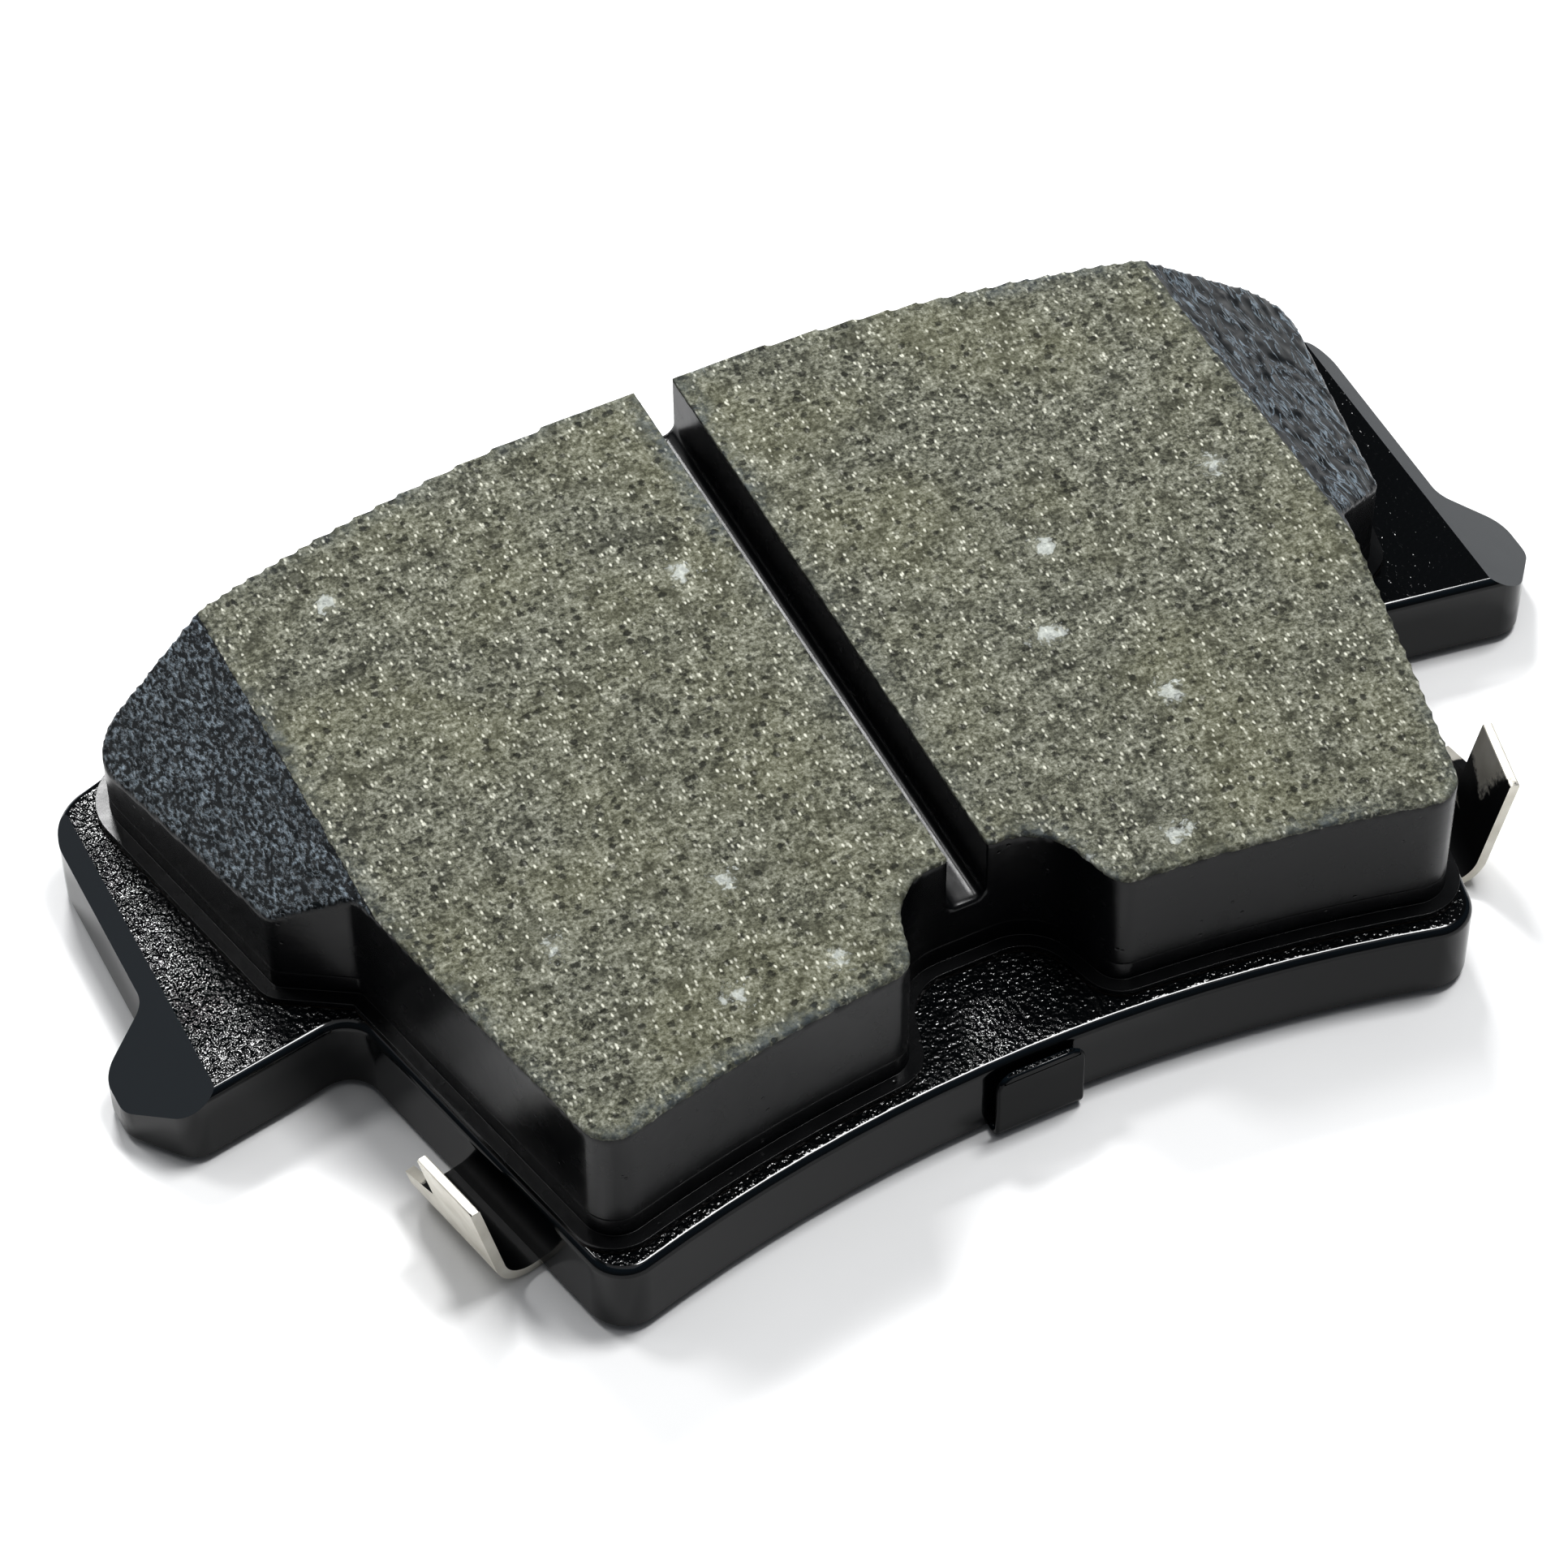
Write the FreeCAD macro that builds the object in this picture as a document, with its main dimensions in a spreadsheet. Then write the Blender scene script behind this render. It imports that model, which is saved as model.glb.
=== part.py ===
import FreeCAD, Part
import math
import os

# Disc brake pad lying on its back: X across the pad, Y from the hub outwards,
# Z from the back of the shim up to the friction face.  Millimetres.

sizes = {
    # shim stack on the back of the plate
    "coat_thickness": 0.15, "shim_thickness": 0.5, "damping_thickness": 0.15,
    "shim_inset": 1.6, "window_clearance": 0.6,
    "tab_width": 6.6, "tab_height": 6.4, "tab_gap": 0.65, "tab_offset": 0.5,
    "tab_corner": 1.3, "tab_bend": 0.4, "tab_root": 1.5, "least_round": 0.15,
    # backing plate
    "plate_thickness": 6.0, "plate_edge_roll": 0.7, "plate_corner": 2.8,
    "inner_radius": 115.0, "inner_top": -23.4,
    "outer_radius": 138.4, "outer_top": 34.1,
    "side_half": 38.4, "side_angle": 12.5,
    "ear_half": 50.1, "ear_corner": 4.2, "ear_root": -0.3, "ear_root_fillet": 2.4,
    "lug_reach": 4.1, "lug_low": -2.4, "lug_foot": 0.8, "lug_tip_low": 1.7, "lug_tip_high": 5.1,
    "lug_top": 7.6, "lug_round": 2.2, "lug_root_fillet": 1.6,
    "bevel_inset": 1.4, "bevel_angle": 33.0,
    "key_diameter": 9.0, "key_spacing": 42.0, "key_row": 5.0,
    # bonding film, underlayer and lining
    "film_thickness": 0.1, "flange_thickness": 0.5, "flange_width": 1.0,
    "underlayer_thickness": 2.1, "lining_thickness": 9.0,
    "lining_side_inset": 1.35, "lining_inner_inset": 2.3, "lining_outer_inset": 1.4,
    "lining_corner": 2.4, "shoulder_step": 4.1, "shoulder_low": 0.6, "shoulder_rise": 3.1,
    "shoulder_root": 0.7, "shoulder_round": 1.1, "lobe_corner": 3.6,
    "slot_width": 3.0, "slot_depth": 5.5, "slot_floor_round": 0.8,
    "notch_width": 11.0, "notch_depth": 6.6, "notch_mouth": 15.0, "notch_round": 4.4,
    "mouth_round": 2.0,
    "chamfer_start": 36.4, "chamfer_angle": 30.0,
    # wear indicator strips and their rivets
    "strip_thickness": 0.7, "strip_tip_width": 5.7, "strip_foot_width": 9.4,
    "strip_standoff": 2.2, "strip_lean": 12.0, "strip_bend": 3.0, "strip_height": 10.2,
    "strip_row": -15.2, "strip_foot": 9.5, "strip_seat": 0.0, "strip_neck": 5.6,
    "strip_flare": 1.8,
    "rivet_shank": 3.4, "rivet_head": 4.8, "rivet_depth": 4.0, "rivet_inset": 5.2,
}

doc = FreeCAD.newDocument("BrakePad")
sheet = doc.addObject("Spreadsheet::Sheet", "Sizes")
for row, (alias, value) in enumerate(sizes.items(), start=1):
    sheet.set(f"A{row}", alias.replace("_", " "))
    sheet.set(f"B{row}", str(value))
    sheet.setAlias(f"B{row}", alias)
doc.recompute()


def size(alias):
    return float(sheet.get(alias))


# ---- plan outlines: corners joined by straight runs or arcs, then rounded ----

class Run:
    """One side of an outline: a straight run, or an arc about a centre."""

    def __init__(self, start, end, centre=None):
        self.start, self.end, self.centre = start, end, centre
        if centre is None:
            self.along = (end - start).normalize()
            return
        turn = (start - centre).cross(end - centre).z
        self.sense = 1 if turn > 0 else -1
        self.radius = (start - centre).Length

    def left_distance(self, point):
        """Distance of a point to the left of the run, and the way to the left."""
        if self.centre is None:
            left = FreeCAD.Vector(-self.along.y, self.along.x, 0)
            return left.dot(point - self.start), left
        away = point - self.centre
        distance = self.sense * (self.radius - away.Length)
        return distance, away.normalize() * -self.sense

    def edge(self, start, end):
        if self.centre is None:
            return Part.LineSegment(start, end)
        middle = (start - self.centre) + (end - self.centre)
        return Part.Arc(start, self.centre + middle.normalize() * self.radius, end)


def point_beside(before, after, distance, guess):
    """The point that lies a distance to the left of two neighbouring runs."""
    point = FreeCAD.Vector(guess)
    for _ in range(30):
        d1, n1 = before.left_distance(point)
        d2, n2 = after.left_distance(point)
        det = n1.x * n2.y - n1.y * n2.x
        e1, e2 = distance - d1, distance - d2
        point = point + FreeCAD.Vector((e1 * n2.y - e2 * n1.y) / det,
                                       (n1.x * e2 - n2.x * e1) / det, 0)
    return point


def runs_through(corners):
    points = [FreeCAD.Vector(x, y, 0) for x, y, _, _ in corners]
    following = points[1:] + points[:1]
    return [Run(a, b, corner[3]) for a, b, corner in zip(points, following, corners)]


def grown(corners, distance):
    """The same outline moved outwards all round; it runs anticlockwise."""
    runs = runs_through(corners)
    result = []
    for i, (x, y, radius, centre) in enumerate(corners):
        before, after = runs[i - 1], runs[i]
        point = point_beside(before, after, -distance, FreeCAD.Vector(x, y, 0))
        t1 = before.left_distance(point)[1]
        t2 = after.left_distance(point)[1]
        convex = t1.cross(t2).z > 0
        change = distance if convex else -distance
        result.append((point.x, point.y, max(radius + change, size("least_round")), centre))
    return result


def outline_edges(corners):
    """Edges of the closed outline with every corner rounded by its own radius."""
    runs = runs_through(corners)
    joints = []
    for i, (x, y, radius, _) in enumerate(corners):
        before, after = runs[i - 1], runs[i]
        guess = FreeCAD.Vector(x, y, 0)
        turn = before.left_distance(guess)[1].cross(after.left_distance(guess)[1]).z
        side = 1 if turn > 0 else -1
        hub = point_beside(before, after, side * radius, guess)
        first = hub - before.left_distance(hub)[1] * (side * radius)
        last = hub - after.left_distance(hub)[1] * (side * radius)
        middle = ((first - hub) + (last - hub)).normalize() * radius
        joints.append((first, hub + middle, last))
    edges = []
    for i, run in enumerate(runs):
        first, middle, last = joints[i]
        edges.append(Part.Arc(first, middle, last))
        edges.append(run.edge(last, joints[(i + 1) % len(joints)][0]))
    return edges


def mirrored(right_half):
    """Close an outline from its right half: the left half runs back the other way.

    Each entry holds the centre of the run that leaves it, so on the way back
    a point takes the centre of the run that reached it."""
    left_half = []
    for i in range(len(right_half) - 1, -1, -1):
        x, y, radius, _ = right_half[i]
        arrival = right_half[i - 1][3] if i > 0 else None
        left_half.append((-x, y, radius, arrival))
    return right_half + left_half


def on_arc(centre, radius, x):
    return centre.y + math.sqrt(radius ** 2 - x ** 2)


lean = math.tan(math.radians(size("side_angle")))
upright = math.cos(math.radians(size("side_angle")))
inner_centre = FreeCAD.Vector(0, size("inner_top") - size("inner_radius"), 0)
outer_centre = FreeCAD.Vector(0, size("outer_top") - size("outer_radius"), 0)


def side_x(y, inset=0.0):
    """Half width of the slanting side at a height y, a little way in from the plate."""
    return size("side_half") + y * lean - inset / upright


def arc_meets_side(centre, radius, inset):
    """Where an inner arc crosses the slanting side."""
    y = size("inner_top")
    for _ in range(30):
        y = on_arc(centre, radius, side_x(y, inset))
    return side_x(y, inset), y


def plate_outline():
    ear, reach = size("ear_half"), size("lug_reach")
    foot_x, foot_y = arc_meets_side(inner_centre, size("inner_radius"), 0)
    root_y = size("ear_root")
    right = [
        (foot_x, foot_y, size("plate_corner"), None),
        (side_x(root_y), root_y, size("ear_root_fillet"), None),
        (ear + size("lug_foot"), size("lug_low"), size("lug_round"), None),
        (ear + reach, size("lug_tip_low"), size("lug_round"), None),
        (ear + reach, size("lug_tip_high"), size("lug_round"), None),
        (ear, size("lug_top"), size("lug_root_fillet"), None),
        (ear, on_arc(outer_centre, size("outer_radius"), ear), size("ear_corner"), outer_centre),
    ]
    outline = mirrored(right)
    x, y, radius, _ = outline[-1]
    outline[-1] = (x, y, radius, inner_centre)
    return outline


def lining_outline():
    inset = size("lining_side_inset")
    inner = size("inner_radius") + size("lining_inner_inset")
    outer = size("outer_radius") - size("lining_outer_inset")
    top = inner_centre.y + inner + size("notch_depth")
    mouth, width = size("notch_mouth") / 2, size("notch_width") / 2
    foot_x, foot_y = arc_meets_side(inner_centre, inner, inset)
    low = size("shoulder_low")
    high = low + size("shoulder_rise")
    lobe_inset = inset - size("shoulder_step")
    lobe_y = size("outer_top") / 2
    for _ in range(30):
        lobe_y = on_arc(outer_centre, outer, side_x(lobe_y, lobe_inset))
    right = [
        (width, top, size("notch_round"), None),
        (mouth, on_arc(inner_centre, inner, mouth), size("mouth_round"), inner_centre),
        (foot_x, foot_y, size("lining_corner"), None),
        (side_x(low, inset), low, size("shoulder_root"), None),
        (side_x(high, lobe_inset), high, size("shoulder_round"), None),
        (side_x(lobe_y, lobe_inset), lobe_y, size("lobe_corner"), outer_centre),
    ]
    return mirrored(right)


# ---- document objects ----

def new_body(name, label):
    body = doc.addObject("PartDesign::Body", name)
    body.Label = label
    return body


def sketch_on(body, name, plane, edges, offset=None):
    """A sketch on one of the body's own origin planes, moved along it by a formula."""
    sketch = body.newObject("Sketcher::SketchObject", name)
    base = [f for f in body.Origin.OriginFeatures if f.Role == plane][0]
    sketch.AttachmentSupport = [(base, "")]
    sketch.MapMode = "FlatFace"
    if offset:
        sketch.setExpression("AttachmentOffset.Base.z", offset)
    for edge in edges:
        sketch.addGeometry(edge, False)
    return sketch


def pad(body, name, sketch, length, reverse=False, midplane=False):
    feature = body.newObject("PartDesign::Pad", name)
    feature.Profile = sketch
    feature.setExpression("Length", length)
    feature.Reversed = reverse
    feature.SideType = "Symmetric" if midplane else "One side"
    body.Tip = feature
    return feature


def pocket(body, name, sketch, length, reverse=False, midplane=False):
    before = body_volume(body)
    feature = body.newObject("PartDesign::Pocket", name)
    feature.Profile = sketch
    feature.setExpression("Length", length)
    feature.Reversed = reverse
    feature.SideType = "Symmetric" if midplane else "One side"
    body.Tip = feature
    if body_volume(body) >= before - 1e-6:
        raise RuntimeError(name + " removes nothing")
    return feature


def fillet(body, name, edges, radius):
    base = body.Tip
    feature = body.newObject("PartDesign::Fillet", name)
    feature.Base = (base, edges)
    feature.setExpression("Radius", radius)
    body.Tip = feature
    return feature


def body_volume(body):
    doc.recompute()
    return body.Shape.Volume


def polygon(points):
    vectors = [FreeCAD.Vector(x, y, 0) for x, y in points]
    return [Part.LineSegment(a, b) for a, b in zip(vectors, vectors[1:] + vectors[:1])]


def circle(x, y, radius):
    return Part.Circle(FreeCAD.Vector(x, y, 0), FreeCAD.Vector(0, 0, 1), radius)


plate_back = "(Sizes.coat_thickness + Sizes.shim_thickness + Sizes.damping_thickness)"
plate_top = "(" + plate_back + " + Sizes.plate_thickness)"
film_top = "(" + plate_top + " + Sizes.film_thickness)"
underlayer_top = "(" + film_top + " + Sizes.underlayer_thickness)"
lining_top = "(" + underlayer_top + " + Sizes.lining_thickness)"
back_z = size("coat_thickness") + size("shim_thickness") + size("damping_thickness")
top_z = back_z + size("plate_thickness")
face_z = (top_z + size("film_thickness") + size("underlayer_thickness")
          + size("lining_thickness"))


def sloping_end(side, start, height, angle):
    """Wedge that slopes an end down from a height, outwards from a half width."""
    end = overall_half + 1
    drop = (end - start) * math.tan(math.radians(angle))
    return polygon([(side * start, height), (side * start, height + 1),
                    (side * end, height + 1), (side * end, height - drop)])


strip_low = back_z - size("strip_seat") - size("strip_thickness")
key_places = [(sx * size("key_spacing") / 2, size("key_row")) for sx in (-1, 1)]
overall_half = size("ear_half") + size("lug_reach")


def strip_frame(side):
    """Placement at the plate's side where a strip stands; its own +X points outwards."""
    y = size("strip_row")
    turn = -size("side_angle") if side > 0 else 180 + size("side_angle")
    return FreeCAD.Placement(FreeCAD.Vector(side * side_x(y), y, 0),
                             FreeCAD.Rotation(FreeCAD.Vector(0, 0, 1), turn))


rivet_places = []
for side in (-1, 1):
    spot = strip_frame(side).multVec(FreeCAD.Vector(-size("rivet_inset"), 0, 0))
    rivet_places.append((spot.x, spot.y))


def make_plate():
    """Blanked steel plate: rolled upper edge, coined lugs, holes for lining and rivets."""
    body = new_body("BackingPlate", "backing_plate")
    blank = sketch_on(body, "PlateOutline", "XY_Plane", outline_edges(plate_outline()), plate_back)
    pad(body, "PlateBlank", blank, "Sizes.plate_thickness")
    doc.recompute()
    rim = [f"Edge{i}" for i, edge in enumerate(body.Shape.Edges, start=1)
           if all(abs(v.Z - top_z) < 1e-6 for v in edge.Vertexes)]
    fillet(body, "PlateRolledEdge", rim, "Sizes.plate_edge_roll")
    for side, name in ((-1, "Left"), (1, "Right")):
        slope = sloping_end(side, size("ear_half") - size("bevel_inset"), top_z,
                            size("bevel_angle"))
        cut = sketch_on(body, "Bevel" + name, "XZ_Plane", slope, "Sizes.outer_top * -1")
        pocket(body, "LugBevel" + name, cut, "Sizes.outer_top - Sizes.lug_low + 1", True)
    holes = [circle(x, y, size("key_diameter") / 2) for x, y in key_places]
    keyed = sketch_on(body, "KeyHoles", "XY_Plane", holes, plate_back)
    pocket(body, "KeyHolePockets", keyed, "Sizes.plate_thickness", True)
    rivets = [circle(x, y, size("rivet_shank") / 2) for x, y in rivet_places]
    drilled = sketch_on(body, "RivetHoles", "XY_Plane", rivets, plate_back)
    pocket(body, "RivetHolePockets", drilled, "Sizes.rivet_depth", True)
    return body


def make_film():
    """Hot-melt adhesive between the plate and the underlayer."""
    body = new_body("BondFilm", "bond_film")
    edges = outline_edges(grown(lining_outline(), size("flange_width")))
    edges += [circle(x, y, size("key_diameter") / 2) for x, y in key_places]
    outline = sketch_on(body, "FilmOutline", "XY_Plane", edges, plate_top)
    pad(body, "Film", outline, "Sizes.film_thickness")
    return body


def make_underlayer():
    """Moulded base of the lining: a flange on the plate and keys down into it."""
    body = new_body("Underlayer", "underlayer")
    wide = outline_edges(grown(lining_outline(), size("flange_width")))
    flange = sketch_on(body, "FlangeOutline", "XY_Plane", wide, film_top)
    pad(body, "Flange", flange, "Sizes.flange_thickness")
    narrow = outline_edges(lining_outline())
    block = sketch_on(body, "UnderlayerOutline", "XY_Plane", narrow, film_top)
    pad(body, "UnderlayerBlock", block, "Sizes.underlayer_thickness")
    round_keys = [circle(x, y, size("key_diameter") / 2) for x, y in key_places]
    keys = sketch_on(body, "KeyOutlines", "XY_Plane", round_keys, film_top)
    pad(body, "Keys", keys, "Sizes.film_thickness + Sizes.plate_thickness", True)
    return body


def make_lining():
    """Friction block: slot, notch in the hub side, chamfered ends."""
    body = new_body("Lining", "lining")
    outline = sketch_on(body, "LiningOutline", "XY_Plane", outline_edges(lining_outline()),
                        underlayer_top)
    pad(body, "Block", outline, "Sizes.lining_thickness")
    half, floor = size("slot_width") / 2, size("slot_floor_round")
    low, high = face_z - size("slot_depth"), face_z + 1
    corners = [(-half, low, floor, None), (half, low, floor, None),
               (half, high, floor, None), (-half, high, floor, None)]
    slot = sketch_on(body, "SlotSection", "XZ_Plane", outline_edges(corners))
    pocket(body, "Slot", slot, "2 * Sizes.outer_radius", midplane=True)
    for side, name in ((-1, "Left"), (1, "Right")):
        slope = sloping_end(side, size("chamfer_start"), face_z, size("chamfer_angle"))
        cut = sketch_on(body, "ChamferSection" + name, "XZ_Plane", slope)
        pocket(body, "Chamfer" + name, cut, "2 * Sizes.outer_radius", midplane=True)
    return body


def shim_outline():
    """The plate's outline without its ears, kept in from the edge."""
    inset = size("shim_inset")
    inner, outer = size("inner_radius") + inset, size("outer_radius") - inset
    foot_x, foot_y = arc_meets_side(inner_centre, inner, inset)
    head_y = size("outer_top") / 2
    for _ in range(30):
        head_y = on_arc(outer_centre, outer, side_x(head_y, inset))
    right = [
        (foot_x, foot_y, size("plate_corner"), None),
        (side_x(head_y, inset), head_y, size("ear_corner"), outer_centre),
    ]
    outline = mirrored(right)
    x, y, radius, _ = outline[-1]
    outline[-1] = (x, y, radius, inner_centre)
    return outline


def window_edges(side):
    """Opening in the shim round a strip's foot."""
    gap = size("window_clearance")
    half = size("strip_foot_width") / 2 + gap
    inner = -size("strip_foot") - gap
    outer = size("strip_standoff")
    frame = strip_frame(side)
    places = [frame.multVec(FreeCAD.Vector(x, y, 0))
              for x, y in ((inner, -half), (outer, -half), (outer, half), (inner, half))]
    return [Part.LineSegment(a, b) for a, b in zip(places, places[1:] + places[:1])]


def make_shim_layer(name, label, base, thickness):
    body = new_body(name, label)
    outline = sketch_on(body, name + "Outline", "XY_Plane", outline_edges(shim_outline()), base)
    pad(body, name + "Sheet", outline, thickness)
    for side, word in ((-1, "Left"), (1, "Right")):
        window = sketch_on(body, name + "Window" + word, "XY_Plane", window_edges(side))
        pocket(body, name + "Cut" + word, window, plate_back, True)
    return body


def add_tab(body):
    """Tab folded up over the hub side of the plate."""
    thick, bend = size("shim_thickness"), size("tab_bend")
    low = size("coat_thickness")
    face = size("inner_top") - size("tab_gap")
    top = low + size("tab_height")
    start = size("inner_top") + size("shim_inset") + size("tab_root")
    edge = size("least_round")
    corners = [(start, low, edge, None), (start, low + thick, edge, None),
               (face, low + thick, bend, None), (face, top, edge, None),
               (face - thick, top, edge, None), (face - thick, low, bend + thick, None)]
    section = sketch_on(body, "TabSection", "YZ_Plane", outline_edges(corners),
                        "Sizes.tab_offset")
    pad(body, "Tab", section, "Sizes.tab_width", midplane=True)
    radius, middle = size("tab_corner"), size("tab_offset")
    diagonal = radius * (1 - math.sqrt(0.5))
    for side, name in ((-1, "Left"), (1, "Right")):
        end = middle + side * size("tab_width") / 2
        places = [FreeCAD.Vector(end - side * radius, top, 0),
                  FreeCAD.Vector(end, top - radius, 0),
                  FreeCAD.Vector(end + side, top - radius, 0),
                  FreeCAD.Vector(end + side, top + 1, 0),
                  FreeCAD.Vector(end - side * radius, top + 1, 0)]
        round_end = Part.Arc(places[0], FreeCAD.Vector(end - side * diagonal, top - diagonal, 0),
                             places[1])
        straight = [Part.LineSegment(p, q) for p, q in zip(places[1:], places[2:] + places[:1])]
        corner = sketch_on(body, "TabCorner" + name, "XZ_Plane", [round_end] + straight,
                           "-1 * (Sizes.inner_top)")
        pocket(body, "TabCornerCut" + name, corner, "Sizes.tab_gap + 4 * Sizes.shim_thickness",
               True)


def make_strip(side, name, label):
    """Wear indicator: spring strip riveted behind the plate and turned up beside it."""
    body = new_body(name, label)
    thick, bend = size("strip_thickness"), size("strip_bend")
    low = strip_low
    lean = math.radians(size("strip_lean"))
    top, edge = size("strip_height"), size("least_round")

    def inside(height):
        return size("strip_standoff") + (height - low) * math.tan(lean)

    sideways = thick / math.cos(lean)
    corners = [(-size("strip_foot"), low, edge, None),
               (inside(low) + sideways, low, bend, None),
               (inside(top) + sideways, top, edge, None), (inside(top), top, edge, None),
               (inside(low + thick), low + thick, bend - thick, None),
               (-size("strip_foot"), low + thick, edge, None)]
    section = sketch_on(body, name + "Section", "XZ_Plane", outline_edges(corners))
    pad(body, name + "Bend", section, "Sizes.strip_foot_width", midplane=True)
    half, tip = size("strip_foot_width") / 2, size("strip_tip_width")
    neck = size("strip_neck")
    flare = neck - size("strip_flare")
    wedge = polygon([(side * (half + 1), flare), (side * half, flare),
                     (side * (tip - half), neck), (side * (tip - half), top + 1),
                     (side * (half + 1), top + 1)])
    trim = sketch_on(body, name + "Taper", "YZ_Plane", wedge)
    pocket(body, name + "Trim", trim, "4 * Sizes.strip_foot", midplane=True)
    seat = body.newObject("PartDesign::SubtractiveCone", name + "Countersink")
    seat.setExpression("Radius1", "Sizes.rivet_head / 2")
    seat.setExpression("Radius2", "Sizes.rivet_shank / 2")
    seat.setExpression("Height", "Sizes.strip_thickness")
    seat.Placement = FreeCAD.Placement(FreeCAD.Vector(-size("rivet_inset"), 0, low),
                                       FreeCAD.Rotation())
    body.Tip = seat
    body.Placement = strip_frame(side)
    return body


def make_rivet(side, name, label):
    """Countersunk rivet through a strip's foot into the back of the plate."""
    body = new_body(name, label)
    low = strip_low
    back = low + size("strip_thickness")
    end = back_z + size("rivet_depth")
    head, shank = size("rivet_head") / 2, size("rivet_shank") / 2
    profile = polygon([(0, low), (head, low), (shank, back), (shank, end), (0, end)])
    section = sketch_on(body, name + "Section", "XZ_Plane", profile)
    turned = body.newObject("PartDesign::Revolution", name + "Turned")
    turned.Profile = section
    turned.ReferenceAxis = (section, ["V_Axis"])
    turned.Angle = 360
    body.Tip = turned
    frame = strip_frame(side)
    spot = frame.multVec(FreeCAD.Vector(-size("rivet_inset"), 0, 0))
    body.Placement = FreeCAD.Placement(spot, frame.Rotation)
    return body


subparts = [make_plate(), make_film(), make_underlayer(), make_lining()]
subparts.append(make_shim_layer("ShimCoat", "shim_coat", None, "Sizes.coat_thickness"))
shim = make_shim_layer("ShimSteel", "shim_steel", "Sizes.coat_thickness", "Sizes.shim_thickness")
add_tab(shim)
subparts.append(shim)
subparts.append(make_shim_layer("ShimDamping", "shim_damping",
                                "Sizes.coat_thickness + Sizes.shim_thickness",
                                "Sizes.damping_thickness"))
for side, word in ((-1, "left"), (1, "right")):
    subparts.append(make_strip(side, "Strip" + word.title(), "wear_strip_" + word))
    subparts.append(make_rivet(side, "Rivet" + word.title(), "wear_rivet_" + word))

doc.recompute()
for item in doc.Objects:
    if "Invalid" in item.State or "Error" in item.State:
        raise RuntimeError(item.Label + " did not build")
for body in subparts:
    if body.Shape.isNull() or not body.Shape.isValid() or len(body.Shape.Solids) != 1:
        raise RuntimeError(body.Label + " is not one sound solid")

os.makedirs("parts", exist_ok=True)
for body in subparts:
    body.Shape.exportStep(os.path.join("parts", body.Label + ".step"))
    box = body.Shape.BoundBox
    print(f"{body.Label:18s} {body.Shape.Volume:10.1f} mm3  "
          f"X {box.XMin:.2f}..{box.XMax:.2f}  Y {box.YMin:.2f}..{box.YMax:.2f}  "
          f"Z {box.ZMin:.2f}..{box.ZMax:.2f}")
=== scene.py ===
import bpy, bmesh, math
import numpy as np
from functools import partial
from mathutils import Matrix, Vector, noise
from mathutils.kdtree import KDTree


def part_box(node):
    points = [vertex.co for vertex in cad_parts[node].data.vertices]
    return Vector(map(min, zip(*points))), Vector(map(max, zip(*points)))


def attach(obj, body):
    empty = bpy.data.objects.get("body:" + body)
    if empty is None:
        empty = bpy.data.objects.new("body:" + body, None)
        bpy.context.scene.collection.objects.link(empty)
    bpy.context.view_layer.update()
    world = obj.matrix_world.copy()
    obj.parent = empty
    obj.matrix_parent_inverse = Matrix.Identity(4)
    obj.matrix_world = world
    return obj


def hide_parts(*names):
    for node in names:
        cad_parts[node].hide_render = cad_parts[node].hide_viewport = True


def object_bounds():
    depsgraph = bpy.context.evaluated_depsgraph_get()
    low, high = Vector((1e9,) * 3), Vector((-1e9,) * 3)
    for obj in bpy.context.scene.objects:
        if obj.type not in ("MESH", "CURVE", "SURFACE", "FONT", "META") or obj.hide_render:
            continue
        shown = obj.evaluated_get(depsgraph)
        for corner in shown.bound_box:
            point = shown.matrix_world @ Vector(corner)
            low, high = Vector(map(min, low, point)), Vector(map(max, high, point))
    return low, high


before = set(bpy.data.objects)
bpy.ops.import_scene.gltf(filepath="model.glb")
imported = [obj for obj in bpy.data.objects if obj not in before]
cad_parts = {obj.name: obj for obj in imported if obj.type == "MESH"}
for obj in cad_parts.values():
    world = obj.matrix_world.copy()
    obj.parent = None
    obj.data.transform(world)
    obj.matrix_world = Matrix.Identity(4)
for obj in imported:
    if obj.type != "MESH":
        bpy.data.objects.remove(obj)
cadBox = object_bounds()
mm = 0.001


# what the materials share

def toLinear(hexColour):
    # sRGB hex to the linear values that the shaders work in
    parts = [int(hexColour[i:i + 2], 16) / 255 for i in (1, 3, 5)]
    return [p / 12.92 if p <= 0.04045 else ((p + 0.055) / 1.055) ** 2.4 for p in parts] + [1.0]


def pickSocket(sockets, key):
    # by its number, or by its name among the sockets that the node has in use
    if isinstance(key, int):
        return sockets[key]
    return next(socket for socket in sockets if socket.name == key and socket.enabled)


def addNode(tree, kind, inputs, output=0, stops=None, **settings):
    # inputs give a socket a value, a hex colour or another node's output, stops are a colour
    # ramp's places with their hex colours or grey levels, and one output comes back
    node = tree.nodes.new("ShaderNode" + kind)
    for name, value in settings.items():
        setattr(node, name, value)
    for key, value in inputs.items():
        socket = pickSocket(node.inputs, key)
        if isinstance(value, bpy.types.NodeSocket):
            tree.links.new(value, socket)
        else:
            socket.default_value = toLinear(value) if isinstance(value, str) else value
    if stops:
        elements = node.color_ramp.elements
        while len(elements) < len(stops):
            elements.new(0.5)
        for element, (position, colour) in zip(elements, stops):
            element.position = position
            element.color = toLinear(colour) if isinstance(colour, str) else [colour] * 3 + [1]
    return pickSocket(node.outputs, output)


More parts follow.
